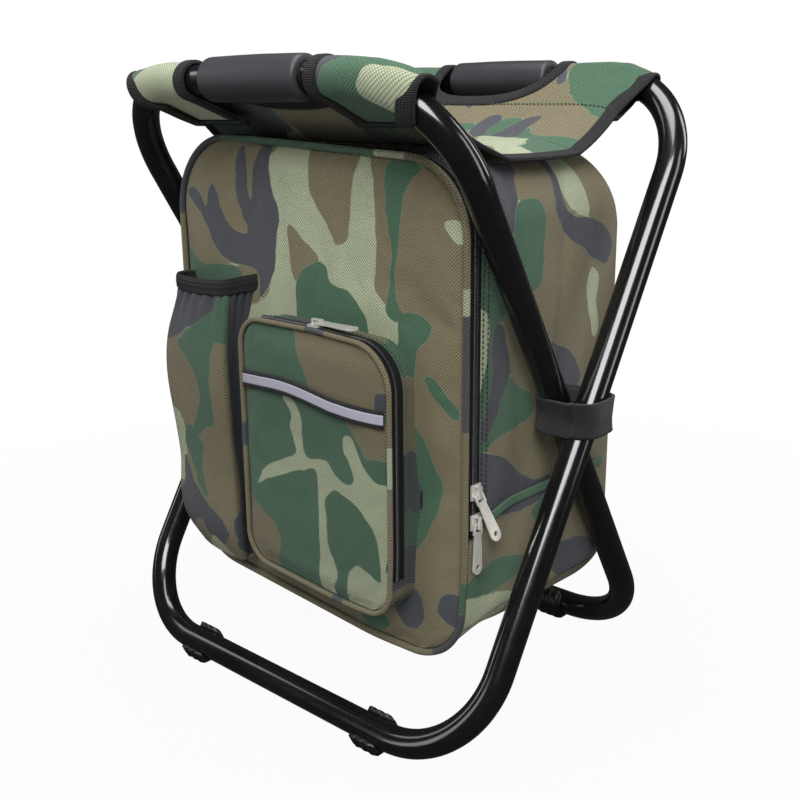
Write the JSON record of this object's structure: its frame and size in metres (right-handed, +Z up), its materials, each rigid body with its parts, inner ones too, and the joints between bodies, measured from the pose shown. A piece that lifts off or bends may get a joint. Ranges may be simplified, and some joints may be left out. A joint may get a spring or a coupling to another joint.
{
  "type": "folding cooler stool",
  "caption": "Folding scissor stool of bent steel tube that carries an insulated zip-front cooler bag under a sloping cloth seat with padded carry grips.",
  "frame": {"origin": "on the floor, under the middle of the scissor pivot", "axes": "+X along the top bars to the viewer's right when facing the zip panel, -Y out of the zip panel, +Z up"},
  "size_m": [0.3672, 0.2754, 0.4412],
  "materials": {
    "black_tube": "gloss black powder coat",
    "zinc": "zinc plated steel",
    "grip": "matte dark grey foam rubber",
    "foot_plastic": "black moulded plastic",
    "camo_cloth": "woodland camouflage print on coated twill",
    "camo_piping": "braided piping cord in camouflage colours",
    "black_webbing": "black woven tape",
    "foam": "closed-cell insulating foam",
    "foil_liner": "silver foil-faced liner",
    "nickel": "nickel plated zip hardware",
    "reflective_tape": "pale grey reflective tape"
  },
  "bodies": {
    "bag": {"gusset_cover": "camo_cloth", "back_cover": "camo_cloth", "wall_foam": "foam", "back_foam": "foam", "wall_liner": "foil_liner", "back_liner": "foil_liner", "body_zip_tape": "black_webbing", "frame_strap_left": "black_webbing", "frame_strap_right": "black_webbing", "slip_pocket_left": "camo_cloth", "slip_pocket_right": "camo_cloth", "seat_middle": "camo_cloth", "seat_front_slope": "camo_cloth", "seat_rear_slope": "camo_cloth"},
    "front_frame": {"front_frame_tube": "black_tube", "front_joint_plug": "zinc", "front_grip": "grip", "front_sleeve_left": "camo_cloth", "front_sleeve_right": "camo_cloth", "rear_foot_left": "foot_plastic", "rear_foot_right": "foot_plastic"},
    "rear_frame": {"rear_frame_tube": "black_tube", "rear_joint_plug": "zinc", "rear_grip": "grip", "rear_sleeve_left": "camo_cloth", "rear_sleeve_right": "camo_cloth", "front_foot_left": "foot_plastic", "front_foot_right": "foot_plastic", "pivot_rivet_left": "zinc", "pivot_rivet_right": "zinc", "pivot_washer_left": "foot_plastic", "pivot_washer_right": "foot_plastic"},
    "front_panel": {"panel_cover": "camo_cloth", "panel_foam": "foam", "panel_liner": "foil_liner", "panel_piping": "camo_piping", "panel_zip_tape": "black_webbing", "pocket_gusset": "camo_cloth", "pocket_cover": "camo_cloth", "pocket_piping": "camo_piping", "pocket_zip_tape": "black_webbing", "reflective_strip": "reflective_tape", "bottle_pocket": "camo_cloth", "bottle_elastic": "black_webbing"},
    "upper_slider": {"upper_slider": "nickel"},
    "upper_pull": {"upper_pull": "nickel"},
    "lower_slider": {"lower_slider": "nickel"},
    "lower_pull": {"lower_pull": "nickel"},
    "pocket_slider": {"pocket_slider": "nickel"},
    "pocket_pull": {"pocket_pull": "nickel"}
  },
  "joints": [
    {"name": "front_frame_fold", "type": "hinge", "parent": "bag", "child": "front_frame", "pos_m": [0, 0, 0.21707], "axis": [-1, 0, 0], "range_deg": [0, 26.5], "deforming": ["seat_front_slope"]},
    {"name": "rear_frame_fold", "type": "hinge", "parent": "bag", "child": "rear_frame", "pos_m": [0, 0, 0.21707], "axis": [1, 0, 0], "range_deg": [0, 26.5], "deforming": ["seat_rear_slope"]},
    {"name": "front_panel_open", "type": "hinge", "parent": "bag", "child": "front_panel", "pos_m": [0, -0.079, 0.056], "axis": [1, 0, 0], "range_deg": [0, 70]},
    {"name": "upper_slider_travel", "type": "slide", "parent": "bag", "child": "upper_slider", "axis": [0, 0, 1], "range_m": [0, 0.12]},
    {"name": "lower_slider_travel", "type": "slide", "parent": "bag", "child": "lower_slider", "axis": [0, 0, 1], "range_m": [-0.006, 0]},
    {"name": "pocket_slider_travel", "type": "slide", "parent": "front_panel", "child": "pocket_slider", "axis": [1, 0, 0], "range_m": [-0.045, 0.033]},
    {"name": "upper_pull_swing", "type": "hinge", "parent": "upper_slider", "child": "upper_pull", "pos_m": [0.1403, -0.0735, 0.1766], "axis": [0, -0.9511, -0.309], "range_deg": [0, 80]},
    {"name": "lower_pull_swing", "type": "hinge", "parent": "lower_slider", "child": "lower_pull", "pos_m": [0.1403, -0.0735, 0.1566], "axis": [0, -1, 0], "range_deg": [0, 45]},
    {"name": "pocket_pull_swing", "type": "hinge", "parent": "pocket_slider", "child": "pocket_pull", "pos_m": [0.0354, -0.10675, 0.2773], "axis": [0, -1, 0], "range_deg": [0, 95]}
  ],
  "couplings": [
    {"joint": "rear_frame_fold", "follows": "front_frame_fold", "ratio": 1}
  ]
}
